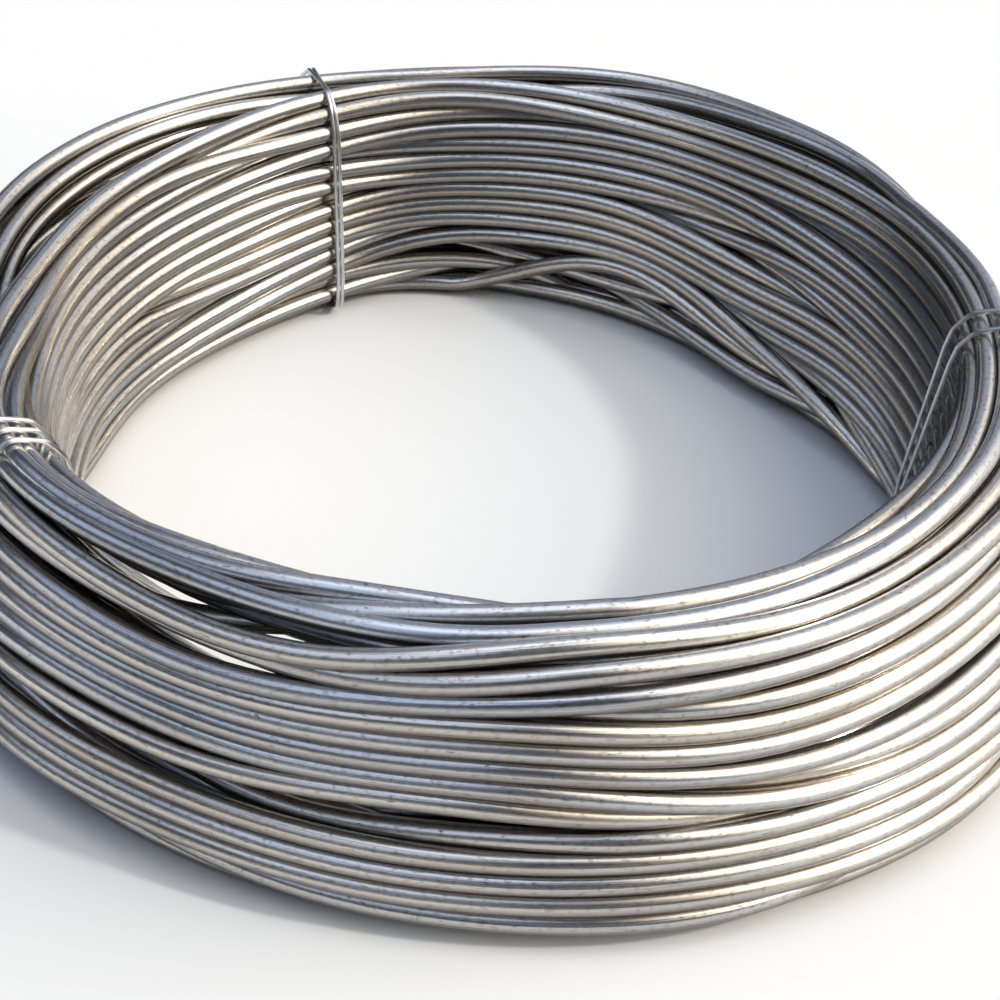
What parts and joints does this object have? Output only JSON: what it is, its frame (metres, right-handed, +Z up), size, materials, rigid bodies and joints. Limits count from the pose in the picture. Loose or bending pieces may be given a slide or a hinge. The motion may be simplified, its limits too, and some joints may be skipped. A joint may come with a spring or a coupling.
{
  "type": "coil of wire rod",
  "caption": "Coil of bright round steel wire rod lying flat with its eye upright, its heaped turns bound round the section by twisted wire ties.",
  "frame": {"origin": "centre of the coil's eye, on the floor that the coil lies on", "axes": "+Z up along the coil's axis, +X to the right in the picture's view, +Y away from the viewer"},
  "size_m": [0.458, 0.456, 0.1082],
  "materials": {
    "wire_rod": "bright drawn steel with a satin sheen, faint straw tint and grey drawing streaks",
    "tie_wire": "zinc-coated soft wire, pale and slightly dull"
  },
  "bodies": {
    "root": {"coil": "wire_rod", "rear_tie": "tie_wire", "right_tie": "tie_wire", "left_tie": "tie_wire"}
  },
  "joints": []
}
